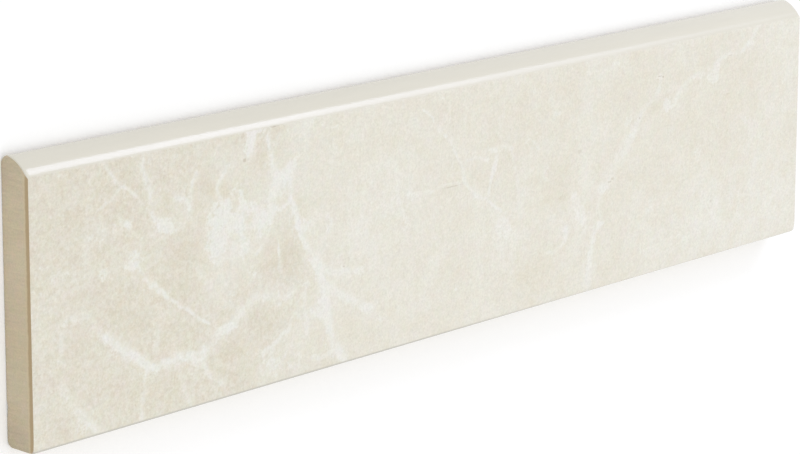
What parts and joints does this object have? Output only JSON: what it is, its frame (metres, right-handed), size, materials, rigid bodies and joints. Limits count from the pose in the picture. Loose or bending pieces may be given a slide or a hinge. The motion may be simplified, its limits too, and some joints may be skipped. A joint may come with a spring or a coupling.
{
  "type": "bullnose tile",
  "caption": "Long glazed ceramic trim tile with one long edge rounded into a bullnose, square-cut ends and a cream marble glaze.",
  "frame": {"origin": "middle of the tile's footprint, on the flat back it lies on", "axes": "+X along the length, towards the right end seen with the rounded edge up; +Y towards the rounded edge; +Z out of the glazed face"},
  "size_m": [0.33, 0.0722, 0.0091],
  "materials": {
    "glazed_clay": "gloss"
  },
  "bodies": {
    "root": {"bullnose_tile": "glazed_clay"}
  },
  "joints": []
}
